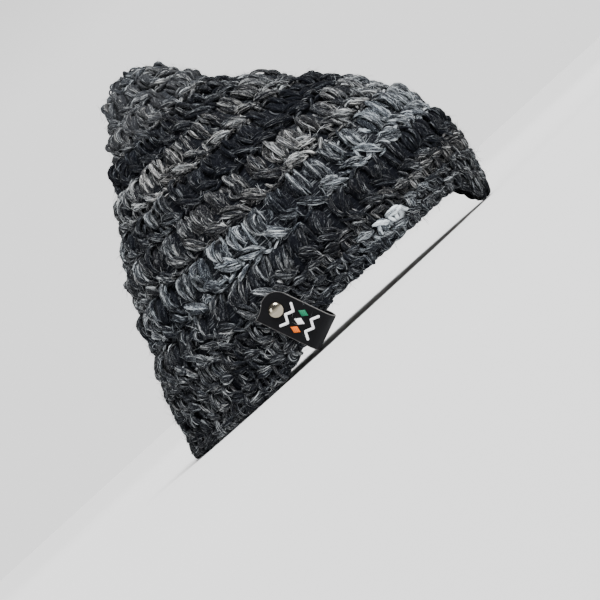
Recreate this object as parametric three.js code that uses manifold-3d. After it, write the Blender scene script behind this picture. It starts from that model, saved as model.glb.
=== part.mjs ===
// A bulky crochet beanie that stands on its rim, with a leather tag riveted round the rim.
// Millimetres, +Z up, +X towards the front of the hat, the tag on the -Y side.
// The origin is in the middle of the hat, on the surface that it stands on.
import * as THREE from "three";
import { ParametricGeometry } from "three/addons/geometries/ParametricGeometry.js";
import { mergeVertices } from "three/addons/utils/BufferGeometryUtils.js";
import Module from "manifold-3d";

const wasm = await Module();
wasm.setup();

// The grooves between the crocheted rounds, from the rim to the last ring under the top.
// z: height; back and front: where the groove meets the hat's middle plane;
// half: its half-width; arch: its share of the arch of the rim.
const GROOVES = [
  { z: 0, back: -124.3, front: 112, half: 94, arch: 1 },
  { z: 13.2, back: -119, front: 115.5, half: 94.5, arch: 2 / 3 },
  { z: 26.4, back: -116.3, front: 119.3, half: 94.5, arch: 1 / 3 },
  { z: 39.6, back: -112.5, front: 122, half: 94, arch: 0 },
  { z: 62.4, back: -101.4, front: 120.5, half: 90.5, arch: 0 },
  { z: 87.6, back: -91, front: 110, half: 83.5, arch: 0 },
  { z: 110.4, back: -81, front: 94.5, half: 73.5, arch: 0 },
  { z: 127.8, back: -68.5, front: 75, half: 61.5, arch: 0 },
  { z: 147, back: -55, front: 54, half: 48.5, arch: 0 },
  { z: 162.6, back: -42.8, front: 33.5, half: 36, arch: 0 },
  { z: 178.4, back: -32.2, front: 24.5, half: 26.5, arch: 0 },
  { z: 193.2, back: -22.4, front: 12.4, half: 17, arch: 0 },
];
const BAND_TOP = 3; // the groove between the brim band and the body
const CROWN_FOOT = 6; // the groove between the body and the crown
const TIP_FOOT = 9; // the groove between the crown and the tip
const TOP_GROOVE = GROOVES.length - 1;

// How far a round stands proud of the straight line between its grooves.
const BAND_PROUD = 2.2;
const ROUND_PROUD = 4.2;

// A round's outer face: the share of its height, and the share of how far it stands proud.
// Its upper edge stands out the most, and drops steeply to the groove above it.
const ROUND_FACE = [
  { up: 0, out: 0 },
  { up: 0.16, out: 0.46 },
  { up: 0.5, out: 0.8 },
  { up: 0.8, out: 1 },
  { up: 0.94, out: 0.72 },
];

// The closed top, over the last groove: the share of that groove's size, and the height.
const TOP_FACE = [
  { size: 1.1, z: 195 },
  { size: 1.06, z: 197.2 },
  { size: 0.86, z: 199.5 },
  { size: 0.5, z: 201 },
  { size: 0.2, z: 200.6 },
  { size: 0, z: 200.2 },
];

const WALL_DEPTH = 6.5; // from the grooves to the inner face
const RIM_FLAT = 5.2; // width of the flat that the rim stands on
const RIM_ROUNDING = 2.6; // from that flat up to the inner face
const TOP_DEPTH = 10; // from the top of the tip down to its inner face
const PARTING = 0.2; // half the step between two sections that meet at a groove
const STEPS_ROUND = 60;
const MERGE_DISTANCE = 1e-3; // corners closer than this are one corner

// The rim arches over the front half of each side; the angle runs from the front to the back.
const ARCH = { height: 17, frontFoot: 8, frontTop: 28, backTop: 84, backFoot: 118 };

const TAG = {
  angle: -102, // where it lies flat against the hat, in degrees from the front
  touchHeight: 24, // height of that place
  shift: 9, // from there along the rim to the middle of the fold
  foldHeight: 5.6, // of the middle of the fold, over the surface that the hat stands on
  lean: 22.8, // its long axis from upright, in degrees
  width: 21.6,
  length: 41.2,
  backCorner: 39.5, // length at the square back corner
  frontCorner: 29.1, // length where the front corner begins to round off
  cornerBow: 0.95, // how full the rounded front corner is, from 0 to 1
  leather: 1.6,
  outside: 3, // inner face of the outer leaf, from the grooves of the hat
  inside: -8.9, // inner face of the inner leaf
  foldDepth: 5,
  stepsWide: 6,
  stepsRoundFold: 10,
  stepsRoundCorner: 6,
  leafSteps: 4,
};
const HAT_RADIUS_AT_TAG = 146; // the tag is bent round the hat to this radius

const RIVET = {
  along: 31.6, // from the fold of the tag
  capRadius: 4.6,
  capHeight: 2.3,
  capEdge: 0.5,
  shank: 1.6,
  hole: 1.95,
  disc: 4,
  discThick: 1,
  capSides: 28,
  postSides: 20,
  holeSides: 16,
};
const CLEARANCE = 0.3;

const YARN_BODY = new THREE.MeshStandardMaterial({ color: 0x56565a, roughness: 0.95, metalness: 0 });
const YARN_BAND = new THREE.MeshStandardMaterial({ color: 0x4b4a4f, roughness: 0.95, metalness: 0 });
const YARN_CROWN = new THREE.MeshStandardMaterial({ color: 0x3f3f41, roughness: 0.95, metalness: 0 });
const YARN_TIP = new THREE.MeshStandardMaterial({ color: 0x67686b, roughness: 0.95, metalness: 0 });
const LEATHER = new THREE.MeshStandardMaterial({ color: 0x1d1c1f, roughness: 0.5, metalness: 0 });
const NICKEL = new THREE.MeshStandardMaterial({ color: 0xd9d6cc, roughness: 0.18, metalness: 1 });

const radians = THREE.MathUtils.degToRad;
const lerp = THREE.MathUtils.lerp;
const smoothstep = THREE.MathUtils.smoothstep;

// Height of the arch of the rim at an angle round the hat.
function archHeight(theta) {
  const turned = Math.abs(THREE.MathUtils.radToDeg(Math.atan2(Math.sin(theta), Math.cos(theta))));
  const rise = smoothstep(turned, ARCH.frontFoot, ARCH.frontTop);
  const fall = 1 - smoothstep(turned, ARCH.backTop, ARCH.backFoot);
  return ARCH.height * rise * fall;
}

// The point of an elliptical groove at an angle round the hat.
function groovePoint(index, theta) {
  const groove = GROOVES[index];
  const middle = (groove.front + groove.back) / 2;
  const reach = (groove.front - groove.back) / 2;
  return new THREE.Vector3(
    middle + reach * Math.cos(theta),
    groove.half * Math.sin(theta),
    groove.z + groove.arch * archHeight(theta),
  );
}

// The level direction square to a groove.
function outward(index, theta) {
  const groove = GROOVES[index];
  const reach = (groove.front - groove.back) / 2;
  return new THREE.Vector3(Math.cos(theta) / reach, Math.sin(theta) / groove.half, 0).normalize();
}

// The direction square to the wall between a groove and the next one.
function roundNormal(index, theta) {
  const rise = groovePoint(index + 1, theta).sub(groovePoint(index, theta));
  const out = outward(index, theta);
  return out.clone().multiplyScalar(rise.z).add(new THREE.Vector3(0, 0, -rise.dot(out))).normalize();
}

// The direction square to the wall at a groove: the middle of its two rounds'.
function grooveNormal(index, theta) {
  const below = roundNormal(Math.max(index - 1, 0), theta);
  const above = roundNormal(Math.min(index, TOP_GROOVE - 1), theta);
  return below.add(above).normalize();
}

// A point on the outer face of a round.
function outerPoint(index, face, theta) {
  const proud = index < BAND_TOP ? BAND_PROUD : ROUND_PROUD;
  return groovePoint(index, theta)
    .lerp(groovePoint(index + 1, theta), face.up)
    .addScaledVector(roundNormal(index, theta), proud * face.out);
}

// A point on the inner face at a groove.
function innerPoint(index, theta) {
  return groovePoint(index, theta).addScaledVector(grooveNormal(index, theta), -WALL_DEPTH);
}

// The rings of the outer faces of the rounds between two grooves, from the lower one up.
// Each ring is a function that gives its point at an angle.
function outerRings(from, to) {
  const rings = [];
  for (let index = from; index < to; index += 1) {
    for (const face of ROUND_FACE) rings.push((theta) => outerPoint(index, face, theta));
  }
  return rings;
}

// The rings of the inner face between two grooves, from the upper one down.
function innerRings(from, to) {
  const rings = [];
  for (let index = to; index >= from; index -= 1) rings.push((theta) => innerPoint(index, theta));
  return rings;
}

// A ring moved up or down, to part two sections that meet there.
function movedUp(ring, rise) {
  return (theta) => ring(theta).add(new THREE.Vector3(0, 0, rise));
}

// A ring inside a groove, drawn in level, for the foot of the rim.
function rimRing(inset, rise) {
  return (theta) =>
    groovePoint(0, theta).addScaledVector(outward(0, theta), -inset).add(new THREE.Vector3(0, 0, rise));
}

// A ring over the last groove, for the closed top.
function topRing({ size, z }) {
  const groove = GROOVES[TOP_GROOVE];
  const middle = (groove.front + groove.back) / 2;
  return (theta) => {
    const point = groovePoint(TOP_GROOVE, theta);
    return new THREE.Vector3(lerp(middle, point.x, size), point.y * size, z);
  };
}

// A surface through a list of rings; when closed, the last ring joins the first.
function surfaceThrough(rings, closed) {
  const stacks = closed ? rings.length : rings.length - 1;
  const place = (u, v, target) => {
    const ring = rings[Math.round(v * stacks) % rings.length];
    target.copy(ring(u * 2 * Math.PI));
  };
  return new ParametricGeometry(place, STEPS_ROUND, stacks);
}

// A geometry as a solid that can be cut.
function solidOf(geometry) {
  const bare = new THREE.BufferGeometry();
  bare.setAttribute("position", geometry.getAttribute("position"));
  if (geometry.index) bare.setIndex(geometry.index);
  const merged = mergeVertices(bare, MERGE_DISTANCE);
  const corners = merged.index.array;
  const kept = [];
  for (let i = 0; i < corners.length; i += 3) {
    const [a, b, c] = corners.slice(i, i + 3);
    if (a !== b && b !== c && c !== a) kept.push(a, b, c);
  }
  return new wasm.Manifold(
    new wasm.Mesh({
      numProp: 3,
      vertProperties: merged.getAttribute("position").array,
      triVerts: new Uint32Array(kept),
    }),
  );
}

// A cut solid back as a geometry.
function geometryOf(solid) {
  const mesh = solid.getMesh();
  const geometry = new THREE.BufferGeometry();
  geometry.setAttribute("position", new THREE.BufferAttribute(mesh.vertProperties, 3));
  geometry.setIndex(new THREE.BufferAttribute(mesh.triVerts, 1));
  geometry.computeVertexNormals();
  return geometry;
}

// The frame of the tag: X across it, Y along it, Z out of the hat, origin at the middle of its fold.
function tagFrame() {
  const theta = radians(TAG.angle);
  const rim = groovePoint(0, theta);
  const rise = groovePoint(BAND_TOP, theta).sub(rim);
  const touch = rim.addScaledVector(rise, (TAG.touchHeight - rim.z) / rise.z);
  const side = outward(BAND_TOP, theta);
  const level = new THREE.Vector3(-side.y, side.x, 0);
  const out = side.clone().multiplyScalar(rise.z).add(new THREE.Vector3(0, 0, -rise.dot(side))).normalize();
  const up = out.clone().cross(level);
  const lean = radians(TAG.lean);
  const across = level.clone().multiplyScalar(Math.cos(lean)).addScaledVector(up, Math.sin(lean));
  const along = level.clone().multiplyScalar(-Math.sin(lean)).addScaledVector(up, Math.cos(lean));
  const drop = (touch.z - TAG.foldHeight) / up.z;
  const origin = touch.addScaledVector(up, -drop).addScaledVector(level, TAG.shift);
  return new THREE.Matrix4().makeBasis(across, along, out).setPosition(origin);
}

// The strip seen along its width: outer leaf, fold and inner leaf, as a closed outline.
function tagProfile() {
  const middle = (TAG.outside + TAG.inside) / 2;
  const reach = (TAG.outside - TAG.inside) / 2;
  const side = (extra, turned) => {
    const points = [];
    for (let i = 0; i < TAG.leafSteps; i += 1) {
      const along = lerp(TAG.length, TAG.foldDepth, i / TAG.leafSteps);
      points.push(new THREE.Vector2(middle + reach + extra, along));
    }
    for (let i = 0; i <= TAG.stepsRoundFold; i += 1) {
      const angle = (Math.PI * i) / TAG.stepsRoundFold;
      const deep = TAG.foldDepth - TAG.leather + extra;
      points.push(
        new THREE.Vector2(middle + (reach + extra) * Math.cos(angle), TAG.foldDepth - deep * Math.sin(angle)),
      );
    }
    for (let i = 1; i <= TAG.leafSteps; i += 1) {
      const along = lerp(TAG.foldDepth, TAG.length, i / TAG.leafSteps);
      points.push(new THREE.Vector2(middle - reach - extra, along));
    }
    return turned ? points.reverse() : points;
  };
  return new THREE.Shape([...side(TAG.leather, false), ...side(0, true)]);
}

// The outline of both leaves: square at the back corner, rounded off at the front one.
function tagOutline() {
  const half = TAG.width / 2;
  const below = -TAG.foldDepth;
  const shape = new THREE.Shape();
  shape.moveTo(-half, below);
  shape.lineTo(half, below);
  shape.lineTo(half, TAG.frontCorner);
  shape.quadraticCurveTo(half * TAG.cornerBow, TAG.length * TAG.cornerBow, 0, TAG.length);
  shape.lineTo(-half, TAG.backCorner);
  shape.closePath();
  return shape;
}

// A round bar out through the tag and the wall, for the rivet's hole.
function rivetHole() {
  const long = TAG.length;
  const bar = new THREE.CylinderGeometry(RIVET.hole, RIVET.hole, long, RIVET.holeSides);
  bar.rotateX(Math.PI / 2);
  bar.translate(0, RIVET.along, 0);
  return bar;
}

// The tag follows the hat: it bends round an upright axis.
function bendRoundHat(geometry) {
  const lean = radians(TAG.lean);
  const place = geometry.getAttribute("position");
  for (let i = 0; i < place.count; i += 1) {
    const level = place.getX(i) * Math.cos(lean) - place.getY(i) * Math.sin(lean) + TAG.shift;
    place.setZ(i, place.getZ(i) - sagAt(level));
  }
  return geometry;
}

function tagGeometry() {
  const strip = new THREE.ExtrudeGeometry(tagProfile(), {
    depth: TAG.width,
    steps: TAG.stepsWide,
    bevelEnabled: false,
  });
  strip.translate(0, 0, -TAG.width / 2);
  strip.rotateY(-Math.PI / 2);
  const deep = TAG.length;
  const outline = new THREE.ExtrudeGeometry(tagOutline(), {
    depth: deep,
    bevelEnabled: false,
    curveSegments: TAG.stepsRoundCorner,
  });
  outline.translate(0, 0, -deep / 2);
  const cut = solidOf(strip).intersect(solidOf(outline)).subtract(solidOf(rivetHole()));
  return bendRoundHat(geometryOf(cut));
}

// How far the bent leather falls back at a level distance from where it touches the hat.
function sagAt(level) {
  return level ** 2 / (2 * HAT_RADIUS_AT_TAG);
}

// The domed cap, on the outer leaf.
function rivetCapGeometry() {
  const { capRadius, capHeight, capEdge } = RIVET;
  const profile = new THREE.Path();
  profile.moveTo(0, 0);
  profile.lineTo(capRadius - capEdge, 0);
  profile.lineTo(capRadius, capEdge);
  profile.bezierCurveTo(capRadius, capHeight * 0.75, capRadius * 0.55, capHeight, 0, capHeight);
  const cap = new THREE.LatheGeometry(profile.getPoints(7), RIVET.capSides);
  cap.rotateX(Math.PI / 2);
  cap.translate(0, RIVET.along, TAG.outside + TAG.leather + CLEARANCE);
  return cap;
}

// The hidden shank through the wall, with the disc that closes it on the inner leaf.
function rivetPostGeometry() {
  const { shank, disc, discThick } = RIVET;
  const top = TAG.outside + TAG.leather;
  const level = Math.abs(TAG.shift - RIVET.along * Math.sin(radians(TAG.lean)));
  const discTop = TAG.inside - TAG.leather - CLEARANCE - sagAt(level + disc);
  const corners = [
    [0, discTop - discThick],
    [disc, discTop - discThick],
    [disc, discTop],
    [shank, discTop],
    [shank, top],
    [0, top],
  ];
  const post = new THREE.LatheGeometry(corners.map(([x, y]) => new THREE.Vector2(x, y)), RIVET.postSides);
  post.rotateX(Math.PI / 2);
  post.translate(0, RIVET.along, 0);
  return post;
}

// The single-crochet band, from the arched rim up, with the rivet's hole.
function brimBandGeometry(frame) {
  const rings = [
    ...outerRings(0, BAND_TOP),
    movedUp((theta) => groovePoint(BAND_TOP, theta), -PARTING),
    movedUp((theta) => innerPoint(BAND_TOP, theta), -PARTING),
    ...innerRings(1, BAND_TOP - 1),
    rimRing(WALL_DEPTH, RIM_ROUNDING),
    rimRing(RIM_FLAT, 0),
  ];
  const hole = rivetHole().applyMatrix4(frame);
  return geometryOf(solidOf(surfaceThrough(rings, true)).subtract(solidOf(hole)));
}

// The bean-stitch rounds between two grooves, as an open ring.
function roundsGeometry(from, to) {
  const [, ...faces] = outerRings(from, to);
  const rings = [
    movedUp((theta) => groovePoint(from, theta), PARTING),
    ...faces,
    movedUp((theta) => groovePoint(to, theta), -PARTING),
    movedUp((theta) => innerPoint(to, theta), -PARTING),
    ...innerRings(from + 1, to - 1),
    movedUp((theta) => innerPoint(from, theta), PARTING),
  ];
  return surfaceThrough(rings, true);
}

// The last rounds, drawn in to the closed top.
function tipGeometry() {
  const [, ...faces] = outerRings(TIP_FOOT, TOP_GROOVE);
  const top = TOP_FACE[TOP_FACE.length - 1].z;
  const rings = [
    topRing({ size: 0, z: top - TOP_DEPTH }),
    ...innerRings(TIP_FOOT + 1, TOP_GROOVE),
    movedUp((theta) => innerPoint(TIP_FOOT, theta), PARTING),
    movedUp((theta) => groovePoint(TIP_FOOT, theta), PARTING),
    ...faces,
    (theta) => groovePoint(TOP_GROOVE, theta),
    ...TOP_FACE.map(topRing),
  ];
  return surfaceThrough(rings, false);
}

function addPiece(group, name, geometry, material) {
  const mesh = new THREE.Mesh(geometry, material);
  mesh.name = name;
  group.add(mesh);
}

const beanie = new THREE.Group();
const frame = tagFrame();
addPiece(beanie, "brim_band", brimBandGeometry(frame), YARN_BAND);
addPiece(beanie, "body", roundsGeometry(BAND_TOP, CROWN_FOOT), YARN_BODY);
addPiece(beanie, "crown", roundsGeometry(CROWN_FOOT, TIP_FOOT), YARN_CROWN);
addPiece(beanie, "tip", tipGeometry(), YARN_TIP);

const fastening = new THREE.Group();
frame.decompose(fastening.position, fastening.quaternion, fastening.scale);
addPiece(fastening, "tag", tagGeometry(), LEATHER);
addPiece(fastening, "rivet_cap", rivetCapGeometry(), NICKEL);
addPiece(fastening, "rivet_post", rivetPostGeometry(), NICKEL);
beanie.add(fastening);

export default beanie;
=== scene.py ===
"""A bulky crochet beanie that stands on its rim, with every strand of its stitches and a riveted leather tag.

The wall of the hat is a stack of slanted rings, the grooves between its crocheted rounds. A stitch is drawn
flat, by its share of the way round, its level (which groove, and how far to the next one) and its lift off
the wall, and on_wall() bends it round the hat.
"""

from dataclasses import dataclass

import bpy
import numpy as np
from mathutils import Matrix


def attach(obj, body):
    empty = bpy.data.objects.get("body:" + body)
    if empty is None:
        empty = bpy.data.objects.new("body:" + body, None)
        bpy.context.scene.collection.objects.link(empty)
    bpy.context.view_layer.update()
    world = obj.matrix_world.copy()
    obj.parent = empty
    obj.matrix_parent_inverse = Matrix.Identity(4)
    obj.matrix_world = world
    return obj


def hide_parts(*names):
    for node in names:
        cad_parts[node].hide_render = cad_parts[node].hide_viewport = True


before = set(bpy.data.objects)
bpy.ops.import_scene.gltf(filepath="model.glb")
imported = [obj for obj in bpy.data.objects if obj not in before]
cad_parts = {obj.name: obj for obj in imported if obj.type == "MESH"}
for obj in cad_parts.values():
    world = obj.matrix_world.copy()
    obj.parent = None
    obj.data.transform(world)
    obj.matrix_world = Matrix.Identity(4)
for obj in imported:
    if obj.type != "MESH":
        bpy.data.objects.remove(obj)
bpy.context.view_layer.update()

MM = 0.001
SEED = 41
RING_STEPS = 721

# The grooves between the rounds, from the rim up, in millimetres: height, where the groove meets the hat's
# middle plane at the back and at the front, half-width, and its share of the arch of the rim.
# The last ring closes the top.
GROOVES = np.array([
    (0, -124.3, 112, 94, 1),
    (13.2, -119, 115.5, 94.5, 2 / 3),
    (26.4, -116.3, 119.3, 94.5, 1 / 3),
    (39.6, -112.5, 122, 94, 0),
    (62.4, -101.4, 120.5, 90.5, 0),
    (87.6, -91, 110, 83.5, 0),
    (110.4, -81, 94.5, 73.5, 0),
    (127.8, -68.5, 75, 61.5, 0),
    (147, -55, 54, 48.5, 0),
    (162.6, -42.8, 33.5, 36, 0),
    (178.4, -32.2, 24.5, 26.5, 0),
    (193.2, -22.4, 12.4, 17, 0),
    (199.6, -7.5, -2.5, 2.5, 0),
]) * (MM, MM, MM, MM, 1)
BAND_TOP = 3
CROWN_FOOT = 6
TIP_FOOT = 9
LAST_RING = 12

# The rim arches up over the front half of each side; degrees from the front.
ARCH_HEIGHT = 17 * MM
ARCH_FRONT = (8, 28)
ARCH_BACK = (84, 118)

# The backing wall under the strands: its depth, how far its grooves lie under the rings, how far its rounds
# bulge, the bumps of its inner side, its lower edge, half the slit between two walls, its steps, the rounds
# over which it gets thinner at the tip, and the millimetres of streaks from step to step.
WALL_DEPTH = 6.5 * MM
WALL_SINK = 2.6 * MM
WALL_BULGE = 1.0 * MM
INNER_BUMP = 1.1 * MM
RIM_INSET = 1.2 * MM
RIM_FLAT = 5.2 * MM
RIM_RISE = 1.6 * MM
RIM_ROUNDING = 2.6 * MM
PARTING = 0.2 * MM
WALL_STEPS = 7
COLUMNS_PER_STITCH = 4
TIP_THINNING = 1.5
WALL_STREAK_STEP = 3.0

# The walls: name, groove at the foot, groove at the top, bumps round the inside, the solid they cover.
WALLS = [
    ("brim_wall", 0, BAND_TOP, 60, "brim_band"),
    ("body_wall", BAND_TOP, CROWN_FOOT, 46, "body"),
    ("crown_wall", CROWN_FOOT, TIP_FOOT, 34, "crown"),
    ("tip_wall", TIP_FOOT, LAST_RING, 18, "tip"),
]

# The bean-stitch rounds, from the band up: name, groove at the foot, number of beans, the solid they cover.
ROUNDS = [
    ("bean_round_1", 3, 40, "body"),
    ("bean_round_2", 4, 39, "body"),
    ("bean_round_3", 5, 37, "body"),
    ("bean_round_4", 6, 33, "crown"),
    ("bean_round_5", 7, 29, "crown"),
    ("bean_round_6", 8, 23, "crown"),
    ("bean_round_7", 9, 17, "tip"),
    ("bean_round_8", 10, 12, "tip"),
    ("closing_round", 11, 8, "tip"),
]
BAND_STITCHES = 56
EDGE_LOOPS = 56

# How the yarn's tone runs along each round: partly the yarn's own changes of shade and partly painted light,
# as the front of the upper bean rounds is paler in part because the light falls most there. Each row has the
# degrees from the front, with the tag's side negative, the tone from 0, black, to 1, off-white, and the
# warmth from -1, bluish, to 1, olive.
SHADES = {
    "band_round_1": [
        (-180, 0.26, 0.1), (-120, 0.27, 0.1), (-92, 0.26, -0.1), (-74, 0.24, -0.3), (-70, 0.5, -0.5),
        (-60, 0.5, -0.5), (-55, 0.32, 0), (-20, 0.32, 0.1), (20, 0.38, 0), (90, 0.4, 0.2), (150, 0.3, 0)],
    "band_round_2": [
        (-180, 0.31, -0.2), (-120, 0.32, 0.1), (-92, 0.28, 0), (-76, 0.34, -0.3), (-69, 0.6, -0.5),
        (-67, 1.6, -0.7), (-57, 1.6, -0.7), (-54, 0.4, -0.4), (-30, 0.29, 0.1), (0, 0.32, 0),
        (90, 0.36, 0), (150, 0.38, 0)],
    "band_round_3": [
        (-180, 0.33, 0), (-120, 0.34, 0.1), (-95, 0.26, 0.1), (-78, 0.31, 0.5), (-40, 0.32, 0.8),
        (-10, 0.35, 0.6), (20, 0.4, 0.2), (90, 0.36, 0), (150, 0.38, 0)],
    "bean_round_1": [
        (-180, 0.38, 0), (-135, 0.36, -0.1), (-108, 0.36, 0), (-90, 0.3, 0.1), (-72, 0.18, 0.2),
        (-50, 0.13, 0.1), (-34, 0.1, 0), (-15, 0.08, 0), (15, 0.08, 0), (45, 0.2, 0), (90, 0.38, 0.1),
        (140, 0.4, 0)],
    "bean_round_2": [
        (-180, 0.34, -0.1), (-140, 0.37, -0.4), (-122, 0.6, -0.7), (-104, 0.56, -0.5), (-84, 0.4, -0.4),
        (-66, 0.46, -0.5), (-50, 0.74, -0.7), (-28, 0.86, -0.6), (-10, 0.8, -0.3), (20, 0.4, 0),
        (70, 0.4, 0.2), (120, 0.46, -0.2)],
    "bean_round_3": [
        (-180, 0.42, 0.1), (-140, 0.4, 0.1), (-112, 0.38, 0.5), (-100, 0.43, 0.6), (-82, 0.49, 0.6),
        (-62, 0.51, 0.6), (-40, 0.57, 0.4), (-16, 0.62, 0), (20, 0.5, 0), (80, 0.3, 0.1), (130, 0.44, 0.2)],
    "bean_round_4": [
        (-180, 0.42, 0), (-150, 0.4, 0), (-130, 0.26, 0), (-110, 0.17, 0), (-96, 0.1, 0), (-88, 0.06, 0),
        (-68, 0.07, 0), (-60, 0.14, 0), (-52, 0.06, 0), (-20, 0.1, 0), (5, 0.2, 0), (60, 0.34, 0.1),
        (120, 0.38, 0)],
    "bean_round_5": [
        (-180, 0.42, 0.1), (-142, 0.56, 0.3), (-126, 0.6, 0.6), (-116, 0.57, 0.7), (-98, 0.44, 0.7),
        (-82, 0.34, 0.5), (-70, 0.4, 0.6), (-46, 0.46, 0.6), (-18, 0.46, 0.2), (20, 0.4, 0), (80, 0.28, 0),
        (130, 0.24, 0)],
    "bean_round_6": [
        (-180, 0.08, 0), (-132, 0.1, 0), (-112, 0.2, 0), (-90, 0.2, 0), (-54, 0.24, 0), (-20, 0.28, 0),
        (20, 0.34, 0), (80, 0.3, 0), (130, 0.14, 0)],
    "bean_round_7": [(-180, 0.44, 0.3), (-90, 0.48, 0.4), (0, 0.42, 0.3), (90, 0.46, 0.2)],
    "bean_round_8": [(-180, 0.45, 0.2), (-90, 0.5, 0.2), (0, 0.46, 0.2), (90, 0.44, 0.2)],
    "closing_round": [(-180, 0.44, -0.1), (0, 0.4, -0.1)],
}

# The yarn is patchy: how many waves of tone run round the hat, and how strong each one is. A tone that isn't
# paler in its table is held at LIGHTEST. The backing and the cores are this much of a strand's tone squared,
# which makes them darker than the strands: painted shade where they show between them.
PATCH_WAVES = (7, 12, 17)
PATCH_STRENGTH = 0.16
LIGHTEST = 0.8
WALL_SHADE = 0.45
CORE_SHADE = 0.9
INSIDE_TONE = 0.34

# The fibres' colours, each on the bluish side and on the olive side.
BLACK_FIBRE = ((0.0022, 0.0030, 0.0054), (0.0029, 0.0032, 0.0046))
GREY_FIBRE = ((0.0330, 0.0385, 0.0480), (0.0410, 0.0413, 0.0430))
DIM_FIBRE = ((0.092, 0.108, 0.128), (0.113, 0.112, 0.112))
WHITE_FIBRE = ((0.400, 0.448, 0.485), (0.45, 0.445, 0.43))
PALEST_FIBRE = (0.72, 0.78, 0.82, 1)

# The tag, in its own frame: across it, along it from the fold, and out of the hat. Over LEATHER_EDGE from the
# cut, the leather gets thinner, to EDGE_FULLNESS. The rivet has a straight skirt and is sunk in a little.
TAG_ANGLE = np.radians(-102)
TAG_TOUCH_HEIGHT = 24 * MM
TAG_SHIFT = 9 * MM
TAG_FOLD_HEIGHT = 5.6 * MM
TAG_LEAN = np.radians(22.8)
TAG_WIDTH = 21.6 * MM
TAG_LENGTH = 41.2 * MM
TAG_BACK_CORNER = 39.9 * MM
TAG_BACK_DIP = 0.9 * MM
TAG_FRONT_CORNER = 29.1 * MM
TAG_FOLD_DEPTH = 5 * MM
TAG_OUTSIDE = 3 * MM
TAG_INSIDE = -8.9 * MM
LEATHER = 1.6 * MM
LEATHER_EDGE = 0.5 * MM
EDGE_FULLNESS = 0.62
HAT_RADIUS_AT_TAG = 146 * MM
RIVET_ALONG = 31.6 * MM
RIVET_RADIUS = 4.6 * MM
RIVET_HEIGHT = 2.5 * MM
RIVET_SKIRT = 0.4 * MM
RIVET_SINK = 0.05 * MM

# The embroidery, in mm on the tag: two zigzags, and three diamonds in a row between them, whose points have
# a share of their width. The threads' colours go from dark to light: the dark is painted shade between the
# ridges of the turns, mixed with random changes of tone.
ZIGZAGS_ALONG = (24.0, 9.5)
ZIGZAG_REACH = 7.4
ZIGZAG_PEAK = 1.7
ZIGZAG_TURNS = 4
ZIGZAG_WIDTH = 1.5
ZIGZAG_STEPS = 41
DIAMONDS_ALONG = 16.75
DIAMOND_SPACING = 5.2
DIAMOND_TALL = 6.4
DIAMOND_WIDE = 4.2
DIAMOND_POINT = 0.04
ZIGZAG_HEIGHT = 0.4
DIAMOND_HEIGHT = 0.45
THREADS = {
    "white": ((0.58, 0.58, 0.60, 1), (0.95, 0.95, 0.97, 1)),
    "orange": ((0.40, 0.068, 0.001, 1), (0.76, 0.15, 0.002, 1)),
    "green": ((0.003, 0.075, 0.036, 1), (0.008, 0.18, 0.09, 1)),
}

# Looking square at the hat's right side, with the hat tilted in the picture as it is worn.
CAMERA_PLACE = (-0.015, -1.8, 0.03)
CAMERA_TILT = np.radians(42.23)
CAMERA_LENS = 180
CAMERA_SENSOR = 36

# The studio: its walls, its ceiling, its floor, and its lamps, each with its kind, place and strength.
WALL_LIGHT = 1.6
CEILING_COLOUR = (0.05, 0.05, 0.05, 1)
CEILING_RISE = (0.11, 0.30)
FLOOR_RADIUS = 12
LAMPS_AIM = (0, 0, 0.09)
LAMPS = [
    ("key_light", "SUN", (0.8, -1.0, 1.9), 8.2, {"angle": np.radians(30)}),
    ("left_box", "AREA", (-1.3, -1.2, 0.9), 10, {"size": 0.7}),
    ("rim_box", "AREA", (0.3, 1.3, 1.3), 8, {"size": 1.0}),
]


def unit(vectors):
    """Vectors at length one."""
    return vectors / np.maximum(np.linalg.norm(vectors, axis=-1, keepdims=True), 1e-12)


def smoothstep(value, low, high):
    """From 0 at low to 1 at high along a curve that starts and ends level: 3 s^2 - 2 s^3 of the share s."""
    share = np.clip((value - low) / (high - low), 0, 1)
    return share * share * (3 - 2 * share)


def mix(first, second, share):
    """The value at a share of the way from the first to the second."""
    return first + (second - first) * share


def arch_height(theta):
    """How far the rim is lifted at an angle: it rises smoothly near the front and falls towards the back."""
    turned = np.degrees(np.abs(np.arctan2(np.sin(theta), np.cos(theta))))
    return ARCH_HEIGHT * smoothstep(turned, *ARCH_FRONT) * (1 - smoothstep(turned, *ARCH_BACK))


def wall_point(theta, level):
    """An ellipse through the back and front of the ring at that level, lifted by its share of the arch."""
    numbers = np.arange(len(GROOVES))
    height, back, front, half, arch = [np.interp(level, numbers, column) for column in GROOVES.T]
    x = (front + back) / 2 + (front - back) / 2 * np.cos(theta)
    y = half * np.sin(theta)
    z = height + arch * arch_height(theta)
    return np.stack(np.broadcast_arrays(x, y, z), axis=-1)


def wall_normal(theta, level):
    """Square to the way round and to the rise of the wall from half a round below to half a round above."""
    round_the_hat = wall_point(theta + 0.01, level) - wall_point(theta - 0.01, level)
    rise = wall_point(theta, level + 0.5) - wall_point(theta, level - 0.5)
    return unit(np.cross(round_the_hat, rise))


def on_wall(theta, level, lift):
    """The wall's point, lifted along its normal."""
    return wall_point(theta, level) + wall_normal(theta, level) * np.asarray(lift)[..., None]


def ring_length(level):
    """The true length of a ring, summed over short chords."""
    points = wall_point(np.linspace(-np.pi, np.pi, RING_STEPS), level)
    return np.linalg.norm(np.diff(points, axis=0), axis=1).sum()


def angle_at(level, share):
    """The angle at a share of the way round a ring, by true length, from the back and past the tag."""
    theta = np.linspace(-np.pi, np.pi, RING_STEPS)
    steps = np.linalg.norm(np.diff(wall_point(theta, level), axis=0), axis=1)
    travelled = np.concatenate([[0], np.cumsum(steps)]) / steps.sum()
    turns = np.floor(share)
    return np.interp(share - turns, travelled, theta) + 2 * np.pi * turns


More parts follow.
